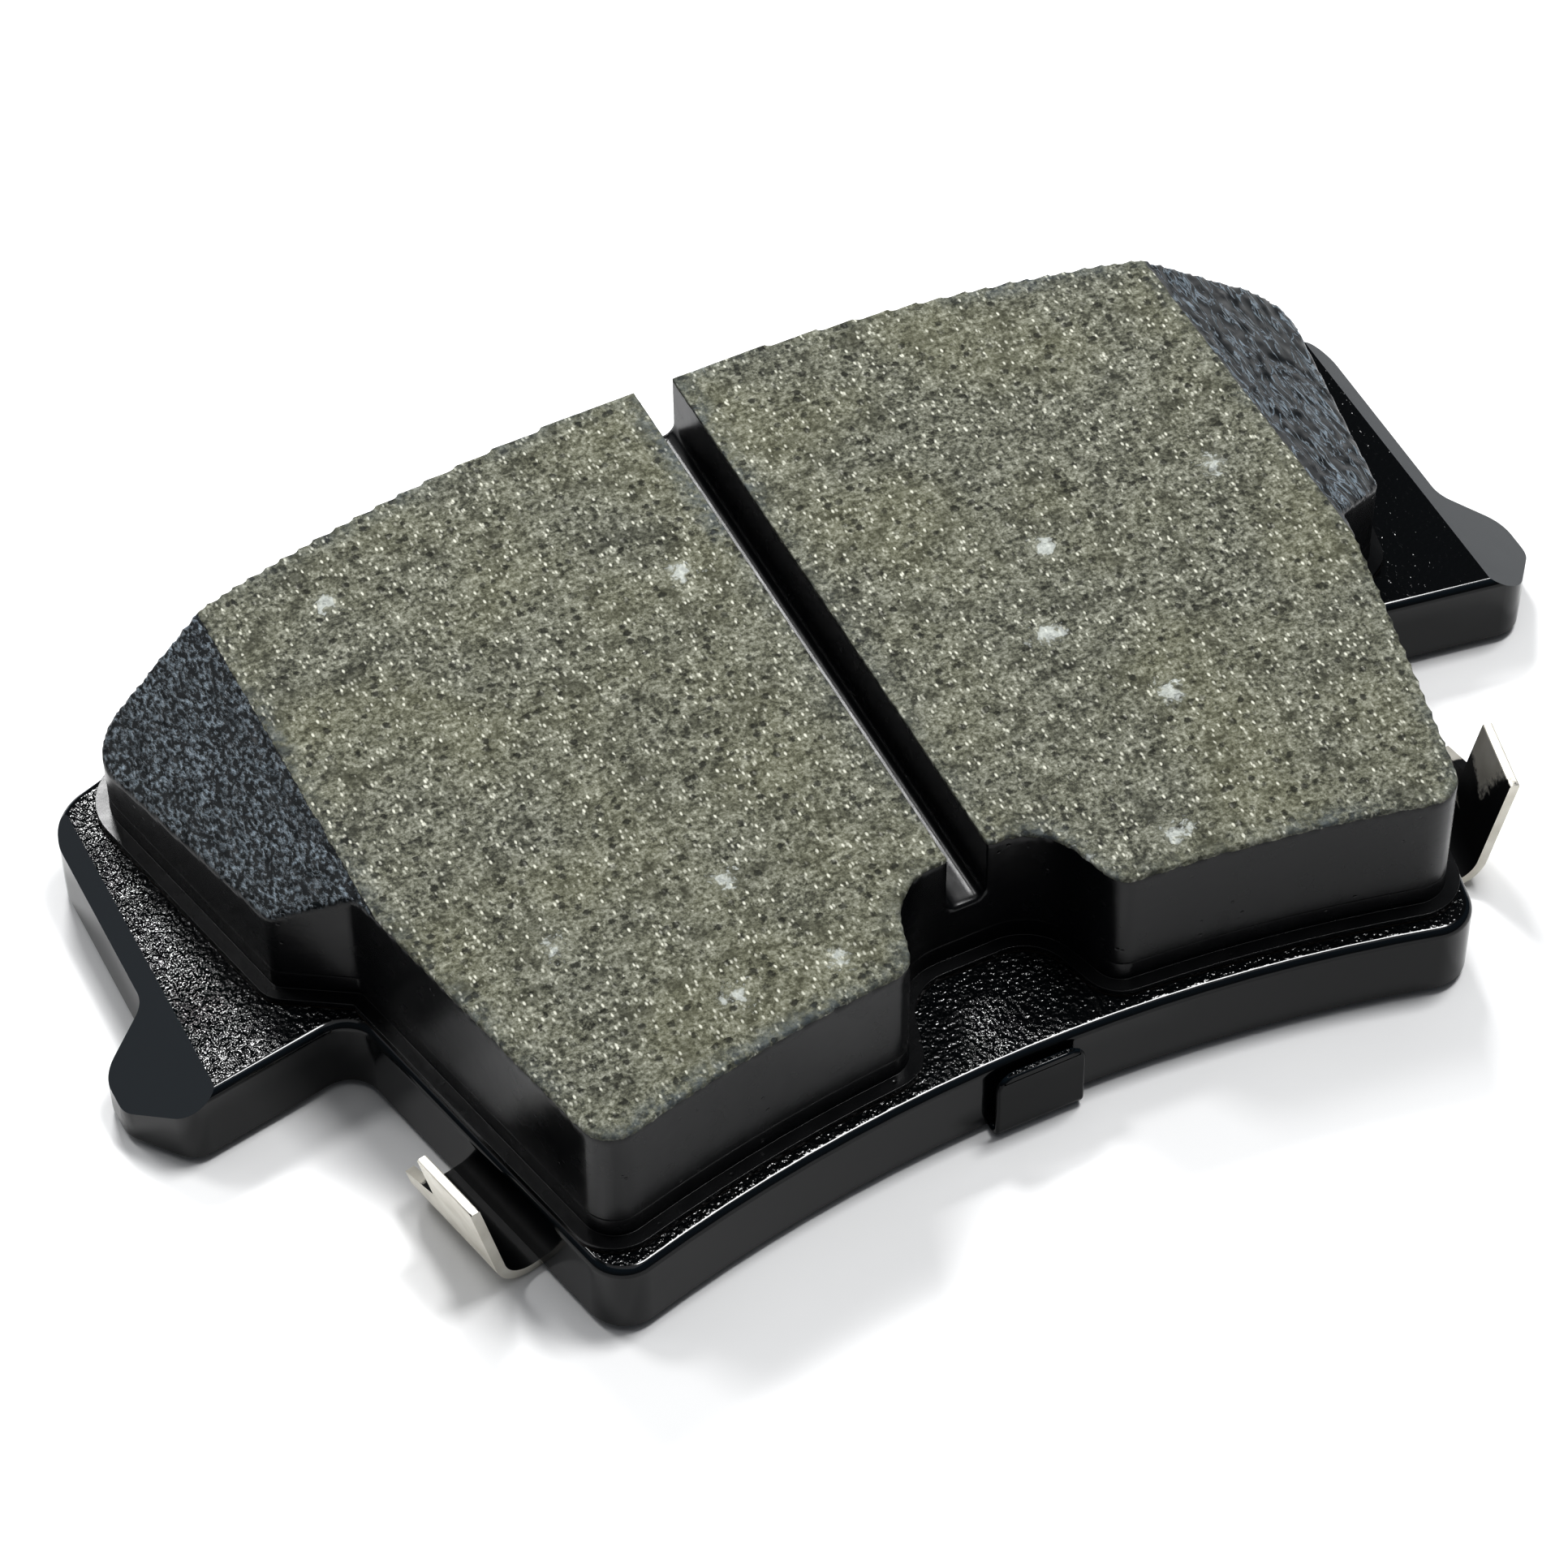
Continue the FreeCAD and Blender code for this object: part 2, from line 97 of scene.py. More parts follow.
def newMaterial(name, fixed):
    # a Principled material with its fixed values set straight on the shader's sockets, and
    # with the piece's own coordinates in metres
    material = bpy.data.materials.new(name)
    material.use_nodes = True
    shader = material.node_tree.nodes["Principled BSDF"]
    for socket, value in fixed.items():
        shader.inputs[socket].default_value = value
    add = partial(addNode, material.node_tree)
    return material, shader, add, add("TexCoord", {}, "Object")


def feed(shader, outputs):
    for socket, output in outputs.items():
        shader.id_data.links.new(output, shader.inputs[socket])


def spreadAtSize(add, texture, place, size, turn, inputs, output, **settings):
    # any texture at a real size in metres, one for all three ways or one for each
    sizes = size if isinstance(size, tuple) else (size, size, size)
    spread = add("Mapping", {"Vector": place, "Scale": [1 / side for side in sizes],
                             "Rotation": (0, 0, turn)})
    return add(texture, {"Vector": spread, "Scale": 1.0, **inputs}, output, **settings)


def mottle(add, place, size, detail=2.0, roughness=0.5, distortion=0.0, turn=0.0):
    # soft uneven patches, about a level of 0.5
    inputs = {"Detail": detail, "Roughness": roughness, "Distortion": distortion}
    return spreadAtSize(add, "TexNoise", place, size, turn, inputs, "Fac")


def scatter(add, place, size, turn=0.0, channel="Red", **settings):
    # cells: how far each point is from its cell's middle, and a level of the cell's own
    distance = spreadAtSize(add, "TexVoronoi", place, size, turn, {}, "Distance", **settings)
    level = add("SeparateColor", {"Color": distance.node.outputs["Color"]}, channel)
    return distance, level


# materials

def makePowderCoat(name, gloss):
    # black powder coat over shot-blasted steel: it flows out smooth on the sheared sides
    # and coined slopes, and the flat faces keep pits that each give a small glint
    # slope is the colour of a painted reflection that tilted faces get
    look = {"colour": "#07090B", "slope": "#10181E", "roughness": 0.1,
            "pit": 0.42 * mm, "pitDepth": 0.2 * mm, "patch": 5 * mm,
            "wave": 2.6 * mm, "waveDepth": 0.008 * mm,
            "thinFrom": 24 * mm, "thinTo": 40 * mm, "thinnest": 0.5}
    material, shader, add, place = newMaterial(name, {
        "Roughness": look["roughness"], "IOR": 1.5, "Specular IOR Level": gloss})
    upward = add("SeparateXYZ", {0: add("NewGeometry", {}, "Normal")}, "Z")
    upward = add("Math", {0: upward}, operation="ABSOLUTE")
    flat = add("ValToRGB", {"Fac": upward}, stops=[(0.975, 0.0), (0.998, 1.0)])
    pits = mottle(add, place, look["pit"], 1.5, 0.6)
    patches = add("ValToRGB", {"Fac": mottle(add, place, look["patch"], 3.0)},
                  stops=[(0.35, 0.7), (0.6, 1.0)])
    across = add("SeparateXYZ", {0: place}, "X")
    thinning = add("MapRange", {"Value": across, "From Min": look["thinFrom"],
                                "From Max": look["thinTo"], "To Min": 1.0,
                                "To Max": look["thinnest"]})
    strength = add("Math", {0: flat, 1: patches}, operation="MULTIPLY")
    strength = add("Math", {0: strength, 1: thinning}, operation="MULTIPLY")
    waves = add("Bump", {"Height": mottle(add, place, look["wave"], 1.0),
                         "Distance": look["waveDepth"]})
    pitted = add("Bump", {"Height": pits, "Distance": look["pitDepth"],
                          "Strength": strength, "Normal": waves})
    # sloping faces and rolled edges get a lighter blue-grey: a painted reflection of the pale sky,
    # chosen by how far the face tilts
    sloping = add("ValToRGB", {"Fac": upward},
                  stops=[(0.5, 0.0), (0.8, 1.0), (0.9, 1.0), (0.95, 0.0)])
    tone = add("Mix", {"Factor": sloping, "A": look["colour"], "B": look["slope"]}, "Result",
               data_type="RGBA")
    feed(shader, {"Normal": pitted, "Base Color": tone})
    return material


enamel = {"colour": "#0B0C0E", "pinhole": "#010101", "roughness": 0.2, "gloss": 0.35,
          "pinholeSpacing": 1.3 * mm, "patch": 5 * mm, "swell": 1.8 * mm, "depth": 0.04 * mm}


def layEnamel(add, place):
    # thin black spray enamel: glossy and a little wavy, with pinholes where grains stand
    # close under it
    distance = spreadAtSize(add, "TexVoronoi", place, enamel["pinholeSpacing"], 0.0, {},
                            "Distance")
    pinholes = add("ValToRGB", {"Fac": distance}, stops=[(0.05, 1.0), (0.13, 0.0)])
    patches = add("ValToRGB", {"Fac": mottle(add, place, enamel["patch"], 2.0)},
                  stops=[(0.5, 0.0), (0.62, 1.0)])
    pinholes = add("Math", {0: pinholes, 1: patches}, operation="MULTIPLY")
    swell = mottle(add, place, enamel["swell"], 3.0, 0.45)
    height = add("Math", {0: swell, 1: 0.6}, operation="MULTIPLY")
    height = add("Math", {0: height, 1: pinholes}, operation="SUBTRACT")
    tone = add("Mix", {"Factor": pinholes, "A": enamel["colour"], "B": enamel["pinhole"]},
               "Result", data_type="RGBA")
    rough = add("Math", {0: swell, 1: 0.12}, operation="MULTIPLY")
    rough = add("Math", {0: rough, 1: enamel["roughness"]}, operation="ADD")
    return tone, rough, height


def makeMouldingEnamel():
    # the same enamel on the moulded underlayer
    material, shader, add, place = newMaterial("blockEnamel", {
        "IOR": 1.5, "Specular IOR Level": enamel["gloss"]})
    tone, rough, height = layEnamel(add, place)
    normal = add("Bump", {"Height": height, "Distance": enamel["depth"], "Strength": 1.0})
    feed(shader, {"Base Color": tone, "Roughness": rough, "Normal": normal})
    return material


mix = {
    "soot": "#282923", "dark": "#494A41", "resin": "#66675A", "light": "#7B7C72",
    "bright": "#9D9E92",                                # grains, darkest to brightest
    "clumpColour": "#34352D", "warm": "#86845F", "glint": "#D4D4C8", "graphite": "#23241E",
    "pebbleDark": "#70746F", "pebbleLight": "#E4E8E4", "margin": "#4C545B",
    "grain": 0.36 * mm, "grit": 1.1 * mm, "clump": 2.2 * mm, "warmPatch": 11 * mm,
    "fibre": 0.42 * mm, "fleck": 0.7 * mm, "pebble": 8.5 * mm, "scuff": 0.8 * mm,
    "scuffStretch": 13 * mm, "matt": 0.85, "gloss": 0.35, "relief": 0.1 * mm,
}


def layGrains(add, place):
    # sand-like grains from soot to bright mineral, in darker clumps and warmer patches
    fine = mottle(add, place, mix["grain"], 5.0, 0.72)
    medium = mottle(add, place, mix["grit"], 3.0, 0.6, 0.6)
    fineShare = add("Math", {0: fine, 1: 0.72}, operation="MULTIPLY")
    mediumShare = add("Math", {0: medium, 1: 0.28}, operation="MULTIPLY")
    grains = add("Math", {0: fineShare, 1: mediumShare}, operation="ADD")
    tone = add("ValToRGB", {"Fac": grains},
               stops=[(0.37, mix["soot"]), (0.45, mix["dark"]), (0.5, mix["resin"]),
                      (0.56, mix["light"]), (0.64, mix["bright"])])
    clumps = add("ValToRGB", {"Fac": mottle(add, place, mix["clump"], 4.0, 0.65)},
                 stops=[(0.32, 0.62), (0.5, 0.0)])
    tone = add("Mix", {"Factor": clumps, "A": tone, "B": mix["clumpColour"]}, "Result",
               data_type="RGBA")
    warm = add("ValToRGB", {"Fac": mottle(add, place, mix["warmPatch"], 2.0)},
               stops=[(0.38, 0.0), (0.62, 0.12)])
    tone = add("Mix", {"Factor": warm, "A": tone, "B": mix["warm"]}, "Result",
               data_type="RGBA")
    return tone, grains, fine, medium


def layFibres(add, place, tone):
    # short bright fibres and metal chips, lying three ways; their bright colour is partly their
    # own and partly a painted glint
    size = (mix["fibre"] * 0.65, mix["fibre"] * 1.25, mix["fibre"])
    glints = 0.0
    for turn in (0.4, 1.5, 2.6):
        distance, level = scatter(add, place, size, turn)
        spot = add("ValToRGB", {"Fac": distance}, stops=[(0.2, 1.0), (0.45, 0.0)])
        chosen = add("ValToRGB", {"Fac": level}, stops=[(0.86, 0.0), (1.0, 0.85)])
        spot = add("Math", {0: spot, 1: chosen}, operation="MULTIPLY")
        glints = add("Math", {0: glints, 1: spot}, operation="MAXIMUM")
    return add("Mix", {"Factor": glints, "A": tone, "B": mix["glint"]}, "Result",
               data_type="RGBA")


def frayEdge(add, distance, pattern, amount):
    # moves an edge in and out with a pattern
    wander = add("Math", {0: pattern, 1: 0.5}, operation="SUBTRACT")
    wander = add("Math", {0: wander, 1: amount}, operation="MULTIPLY")
    return add("Math", {0: distance, 1: wander}, operation="ADD")


def layGraphite(add, place, tone, fine):
    # dark graphite flecks, sunk a little
    distance, level = scatter(add, place, mix["fleck"], channel="Green")
    ragged = frayEdge(add, distance, fine, 0.8)
    flecks = add("ValToRGB", {"Fac": ragged}, stops=[(0.2, 1.0), (0.45, 0.0)])
    chosen = add("ValToRGB", {"Fac": level}, stops=[(0.6, 0.0), (0.9, 1.0)])
    flecks = add("Math", {0: flecks, 1: chosen}, operation="MULTIPLY")
    cover = add("Math", {0: flecks, 1: 0.8}, operation="MULTIPLY")
    tone = add("Mix", {"Factor": cover, "A": tone, "B": mix["graphite"]}, "Result",
               data_type="RGBA")
    return tone, flecks


def layPebbles(add, place, tone, fine, medium):
    # a few pale pebbles of filler with ragged outlines
    distance, level = scatter(add, place, mix["pebble"], channel="Green",
                              voronoi_dimensions="2D")
    ragged = frayEdge(add, frayEdge(add, distance, medium, 0.5), fine, 0.3)
    pebbles = add("ValToRGB", {"Fac": ragged}, stops=[(0.05, 1.0), (0.1, 0.0)])
    chosen = add("Math", {0: level, 1: 0.76}, operation="GREATER_THAN")
    pebbles = add("Math", {0: pebbles, 1: chosen}, operation="MULTIPLY")
    cover = add("Math", {0: pebbles, 1: 0.75}, operation="MULTIPLY")
    pale = add("Mix", {"Factor": fine, "A": mix["pebbleDark"], "B": mix["pebbleLight"]},
               "Result", data_type="RGBA")
    return add("Mix", {"Factor": cover, "A": tone, "B": pale}, "Result", data_type="RGBA")


def layMargin(add, place, tone, scuffs):
    # grey scuffed margin along the ground face's edges, stronger on some stretches
    margin = add("Attribute", {}, "Fac", attribute_name="margin")
    rubbed = add("ValToRGB", {"Fac": scuffs}, stops=[(0.4, 0.2), (0.58, 1.0)])
    margin = add("Math", {0: margin, 1: rubbed}, operation="MULTIPLY")
    stretches = add("ValToRGB", {"Fac": mottle(add, place, mix["scuffStretch"], 2.0)},
                    stops=[(0.45, 0.25), (0.62, 1.0)])
    margin = add("Math", {0: margin, 1: stretches}, operation="MULTIPLY")
    cover = add("Math", {0: margin, 1: 0.75}, operation="MULTIPLY")
    return add("Mix", {"Factor": cover, "A": tone, "B": mix["margin"]}, "Result",
               data_type="RGBA")


ends = {
    "endPaint": "#0B1013", "leftCrestHighlight": "#828D95", "rightCrestHighlight": "#727F89",
    "pebble": (0.3 * mm, 0.5 * mm, 0.3 * mm), "pebbleTurn": 0.5,
    "ridge": (0.75 * mm, 3.2 * mm, 1.5 * mm), "ridgeTurn": 0.52,
    "wornPatch": 2.4 * mm, "roughnessAdded": 0.04,
}


def layEnds(add, place):
    # the sloping ends in blue-black paint, with cast pebbles on the left and drawn ridges on the
    # right; the pale grey crests of the pebbles and ridges are painted highlights
    across = add("SeparateXYZ", {0: place}, "X")
    right = add("Math", {0: across, 1: 0.0}, operation="GREATER_THAN")
    pebbles = mottle(add, place, ends["pebble"], 3.0, 0.6, 0.2, ends["pebbleTurn"])
    pebbles = add("ValToRGB", {"Fac": pebbles}, stops=[(0.46, 0.0), (0.7, 1.0)])
    # patches where the pebbles stand higher and their painted highlights show more
    worn = add("ValToRGB", {"Fac": mottle(add, place, ends["wornPatch"], 3.0)},
               stops=[(0.36, 0.45), (0.6, 1.0)])
    pebbles = add("Math", {0: pebbles, 1: worn}, operation="MULTIPLY")
    ridges = mottle(add, place, ends["ridge"], 3.0, 0.6, 0.8, ends["ridgeTurn"])
    ridges = add("ValToRGB", {"Fac": ridges}, stops=[(0.455, 0.0), (0.5, 1.0), (0.545, 0.0)])
    relief = add("Mix", {"Factor": right, "A": pebbles, "B": ridges}, "Result")
    crestHighlight = add("Mix", {"Factor": right, "A": ends["leftCrestHighlight"], "B": ends["rightCrestHighlight"]},
                "Result", data_type="RGBA")
    # the paint's own blue-black, with a painted highlight mixed in on the crests
    tone = add("Mix", {"Factor": relief, "A": ends["endPaint"], "B": crestHighlight}, "Result",
               data_type="RGBA")
    return tone, relief


def makeFrictionMix():
    # low-metal friction mix, ground flat and matt: mineral, fibre and graphite grains in
    # resin, with black enamel on the block's sides, ends and slot
    material, shader, add, place = newMaterial("groundFrictionMix", {
        "IOR": 1.5, "Specular IOR Level": mix["gloss"]})
    ground, grains, fine, medium = layGrains(add, place)
    ground = layFibres(add, place, ground)
    ground, flecks = layGraphite(add, place, ground, fine)
    ground = layPebbles(add, place, ground, fine, medium)
    scuffs = mottle(add, place, mix["scuff"], 4.0, 0.65)
    ground = layMargin(add, place, ground, scuffs)
    sunk = add("Math", {0: flecks, 1: -0.8}, operation="MULTIPLY")
    groundHeight = add("Math", {0: grains, 1: sunk}, operation="ADD")

    paint, paintRough, swell = layEnamel(add, place)
    # the ends' tone carries the painted highlights on the crests of their relief
    endTone, endRelief = layEnds(add, place)
    onEnd = add("Attribute", {}, "Fac", attribute_name="chamfer")
    paint = add("Mix", {"Factor": onEnd, "A": paint, "B": endTone}, "Result",
                data_type="RGBA")
    rougher = add("Math", {0: onEnd, 1: ends["roughnessAdded"]}, operation="MULTIPLY")
    paintRough = add("Math", {0: paintRough, 1: rougher}, operation="ADD")
    swell = add("Math", {0: swell, 1: 0.4}, operation="MULTIPLY")
    paintHeight = add("Mix", {"Factor": onEnd, "A": swell, "B": endRelief}, "Result")

    painted = add("Attribute", {}, "Fac", attribute_name="painted")
    painted = frayEdge(add, painted, scuffs, 1.6)
    painted = add("ValToRGB", {"Fac": painted}, stops=[(0.42, 0.0), (0.58, 1.0)])
    colour = add("Mix", {"Factor": painted, "A": ground, "B": paint}, "Result",
                 data_type="RGBA")
    rough = add("Mix", {"Factor": painted, "A": mix["matt"], "B": paintRough}, "Result")
    height = add("Mix", {"Factor": painted, "A": groundHeight, "B": paintHeight}, "Result")
    normal = add("Bump", {"Height": height, "Distance": mix["relief"], "Strength": 1.0})
    feed(shader, {"Base Color": colour, "Roughness": rough, "Normal": normal})
    return material


def makeSpringSteel():
    # bright rolled spring steel with fine rolling lines and a faint straw tint; its inner side is
    # glossy black, all but the tip: painted shade and a painted reflection of the black plate
    # paint is the colour of painted shade and a painted reflection of the black plate
    look = {"steel": "#CFCBC0", "worn": "#E2DFD6", "paint": "#07080A", "cloud": 2.5 * mm,
            "speck": 0.4 * mm,
            "line": (4 * mm, 0.09 * mm, 4 * mm), "lineDepth": 0.005 * mm,   # coarse enough to show
            "smoothest": 0.34, "roughest": 0.5, "metallic": 0.6}
    material, shader, add, place = newMaterial("rolledSpringSteel", {"IOR": 1.5})
    metal = add("ValToRGB", {"Fac": mottle(add, place, look["cloud"], 3.0)},
                stops=[(0.35, look["steel"]), (0.65, look["worn"])])
    # the painted attribute marks where that painted shade and reflection go
    shadeAndReflection = add("Attribute", {}, "Fac", attribute_name="painted")
    shadeAndReflection = frayEdge(add, shadeAndReflection, mottle(add, place, look["speck"], 3.0, 0.6), 0.25)
    shadeAndReflection = add("ValToRGB", {"Fac": shadeAndReflection}, stops=[(0.45, 0.0), (0.55, 1.0)])
    colour = add("Mix", {"Factor": shadeAndReflection, "A": metal, "B": look["paint"]}, "Result",
                 data_type="RGBA")
    bare = add("Math", {0: 1.0, 1: shadeAndReflection}, operation="SUBTRACT")
    metallic = add("Math", {0: bare, 1: look["metallic"]}, operation="MULTIPLY")
    lines = mottle(add, place, look["line"], 3.0)
    rough = add("MapRange", {"Value": lines, "To Min": look["smoothest"],
                             "To Max": look["roughest"]})
    normal = add("Bump", {"Height": lines, "Distance": look["lineDepth"], "Strength": 1.0})
    feed(shader, {"Base Color": colour, "Metallic": metallic, "Roughness": rough,
                  "Normal": normal})
    return material


def makeRubberCoat():
    # thin nitrile rubber coat on the shim: matt, faintly mottled, with calender lines
    look = {"dark": "#121314", "light": "#26282A", "cloud": 2.2 * mm,
            "line": (0.3 * mm, 9 * mm, mm), "lineDepth": 0.01 * mm}
    material, shader, add, place = newMaterial("nitrileCoat", {"Roughness": 0.7, "IOR": 1.52})
    colour = add("ValToRGB", {"Fac": mottle(add, place, look["cloud"], 4.0, 0.6)},
                 stops=[(0.3, look["dark"]), (0.7, look["light"])])
    normal = add("Bump", {"Height": mottle(add, place, look["line"], 2.0),
                          "Distance": look["lineDepth"], "Strength": 1.0})
    feed(shader, {"Base Color": colour, "Normal": normal})
    return material


def makeAdhesive():
    # baked hot-melt adhesive: dark amber, half gloss
    look = {"dark": "#1A120B", "light": "#2B1E12", "flow": 1.5 * mm, "depth": 0.02 * mm}
    material, shader, add, place = newMaterial("hotMeltAdhesive", {"Roughness": 0.45, "IOR": 1.5})
    flow = mottle(add, place, look["flow"], 2.0)
    colour = add("ValToRGB", {"Fac": flow}, stops=[(0.35, look["dark"]), (0.65, look["light"])])
    normal = add("Bump", {"Height": flow, "Distance": look["depth"], "Strength": 1.0})
    feed(shader, {"Base Color": colour, "Normal": normal})
    return material


def makeRivetSteel():
    # zinc-plated mild steel rivet with a turned head: dull silver clouds
    look = {"dark": "#8F918F", "light": "#B9BAB6", "cloud": 0.8 * mm,
            "smoothest": 0.28, "roughest": 0.45}
    material, shader, add, place = newMaterial("zincPlatedRivet", {"Metallic": 1.0})
    cloud = mottle(add, place, look["cloud"], 3.0)
    colour = add("ValToRGB", {"Fac": cloud}, stops=[(0.3, look["dark"]), (0.7, look["light"])])
    rough = add("ValToRGB", {"Fac": cloud},
                stops=[(0.3, look["smoothest"]), (0.7, look["roughest"])])
    feed(shader, {"Base Color": colour, "Roughness": rough})
    return material


def makeFloorPaper():
    # white paper sweep: matt and nearly even
    look = {"dark": "#ECECEC", "light": "#F0F0F0", "tooth": 30 * mm}
    material, shader, add, place = newMaterial("paperSweep", {"Roughness": 0.9})
    colour = add("ValToRGB", {"Fac": mottle(add, place, look["tooth"], 2.0)},
                 stops=[(0.3, look["dark"]), (0.7, look["light"])])
    feed(shader, {"Base Color": colour})
    return material


plateCoat = makePowderCoat("blackPowderCoat", 0.35)
shimPaint = makePowderCoat("shimPaint", 0.2)    # the same coat, less glossy
frictionMix = makeFrictionMix()
mouldingEnamel = makeMouldingEnamel()
springSteel = makeSpringSteel()
nitrileCoat = makeRubberCoat()
hotMelt = makeAdhesive()
rivetSteel = makeRivetSteel()
print("materials made")


# meshes

joining = {"mergeWithin": 0.002 * mm, "flatWithin": 0.05}   # the second in degrees
shading = {"sharpFrom": 25, "weight": 50}                   # degrees; Blender's usual weight


def cleanCopy(nodeName, pieceName):
    # the node's own shape with its triangles joined up, ready for bevels and shading
    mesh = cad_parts[nodeName].data.copy()
    mesh.name = pieceName
    piece = bpy.data.objects.new(pieceName, mesh)
    bpy.context.scene.collection.objects.link(piece)
    work = bmesh.new()
    work.from_mesh(mesh)
    bmesh.ops.remove_doubles(work, verts=work.verts, dist=joining["mergeWithin"])
    bmesh.ops.dissolve_limit(work, angle_limit=math.radians(joining["flatWithin"]),
                             verts=work.verts, edges=work.edges)
    work.to_mesh(mesh)
    work.free()
    return piece


def bakeModifiers(piece):
    depsgraph = bpy.context.evaluated_depsgraph_get()
    mesh = bpy.data.meshes.new_from_object(piece.evaluated_get(depsgraph))
    piece.modifiers.clear()
    return mesh


def coat(piece, material):
    piece.data.materials.clear()
    piece.data.materials.append(material)
    piece.data.shade_smooth()


def finishPiece(piece, material, nodeName, sizes):
    # rounds the sharp edges, gives even shading and hands the piece to the frame
    coat(piece, material)
    rounding = piece.modifiers.new("edges", "BEVEL")
    rounding.width = sizes["edge"]
    rounding.segments = sizes["segments"]
    rounding.limit_method = "ANGLE"
    rounding.angle_limit = math.radians(shading["sharpFrom"])
    rounding.harden_normals = False
    rounding.use_clamp_overlap = True
    even = piece.modifiers.new("shading", "WEIGHTED_NORMAL")
    even.keep_sharp = False
    even.weight = shading["weight"]
    piece.data = bakeModifiers(piece)
    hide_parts(nodeName)
    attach(piece, "root")


plate = {"edge": 0.45 * mm, "segments": 3}


def makePlate():
    piece = cleanCopy("backing_plate", "plateBlank")
    finishPiece(piece, plateCoat, "backing_plate", plate)


moulding = {"edge": 0.2 * mm, "segments": 3}


def makeUnderlayer():
    piece = cleanCopy("underlayer", "underlayerMoulding")
    finishPiece(piece, mouldingEnamel, "underlayer", moulding)


shim = {"edge": 0.22 * mm, "segments": 3}


def makeShim():
    piece = cleanCopy("shim_steel", "shimSheet")
    finishPiece(piece, shimPaint, "shim_steel", shim)


rivet = {"edge": 0.1 * mm, "segments": 2}

strip = {
    "edge": 0.08 * mm, "segments": 2,
    "sideAngle": 12.5,          # degrees that the plate's side turns in towards the hub
    "sideHalf": 38.4 * mm,      # half the plate's width, level with the origin
    "row": -15.2 * mm,          # the strips' middle along the pad's centre line
    "halfWidth": 4.7 * mm,
    "shadeTop": 10.2 * mm,      # height of the painted shade's edge on the hub side
    "shadeDrop": 7.04 * mm,     # how far that edge drops towards the rim side
    "shadeFade": 0.8 * mm,
}


def makeStrips():
    for side, word in ((-1, "left"), (1, "right")):
        piece = cleanCopy("wear_strip_" + word, "wearStrip_" + word)
        finishPiece(piece, springSteel, "wear_strip_" + word, strip)
        paintShadeOnStrip(piece.data, side)
        head = cleanCopy("wear_rivet_" + word, "wearRivet_" + word)
        finishPiece(head, rivetSteel, "wear_rivet_" + word, rivet)


def paintShadeOnStrip(mesh, side):
    # painted shade and a painted reflection of the black plate lie on the side towards the plate,
    # below a slanting line near the tip
    turn = math.radians(strip["sideAngle"])
    outward = Vector((side * math.cos(turn), -math.sin(turn), 0))
    along = Vector((side * math.sin(turn), math.cos(turn), 0))
    foot = Vector((side * (strip["sideHalf"] + strip["row"] * math.tan(turn)), strip["row"], 0))
    # the painted attribute holds the painted shade and reflection on the strip
    layer = mesh.attributes.new("painted", "FLOAT", "CORNER")
    for face in mesh.polygons:
        inner = face.normal.dot(outward) < -0.35 or face.normal.z > 0.6
        cutEdge = abs(face.normal.dot(along)) > 0.5
        for corner in face.loop_indices:
            place = mesh.vertices[mesh.loops[corner].vertex_index].co
            share = ((place - foot).dot(along) + strip["halfWidth"]) / (2 * strip["halfWidth"])
            bare = place.z - (strip["shadeTop"] - strip["shadeDrop"] * share)
            amount = min(1.0, max(0.0, 0.5 - bare / strip["shadeFade"]))
            layer.data[corner].value = amount if inner and not cutEdge else 0.0


block = {
    "voxel": 0.3 * mm,          # size of the block's mesh
    "skirt": 2 * mm,            # added below and cut off again, so that the foot stays crisp
    "endStart": 36.4 * mm,      # where the sloping ends begin, each side of the middle
    "endRelief": 0.13 * mm, "bumpWidth": 0.75 * mm, "bumpLength": 1.3 * mm,
    "leftTurn": 0.35, "rightTurn": -0.75,   # radians, the way that the bumps lie
    "edgeBand": 0.5 * mm, "edgeWear": 0.07 * mm, "nibble": 0.7 * mm,
    "margin": 1.8 * mm, "marginDepth": 0.8 * mm,
}


def makeBlock():
    low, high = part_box("lining")
    bottom, top = low[2], high[2]
    piece = cleanCopy("lining", "frictionBlock")
    mesh, painted, onEnd = remeshBlock(piece, bottom, top)
    piece.data = mesh
    addFloats(mesh, "painted", painted)
    addFloats(mesh, "chamfer", onEnd)
    addFloats(mesh, "margin", marginAlongEdges(mesh, top))
    roughenBlock(mesh, top, bottom, onEnd)
    coat(piece, frictionMix)
    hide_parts("lining")
    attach(piece, "root")


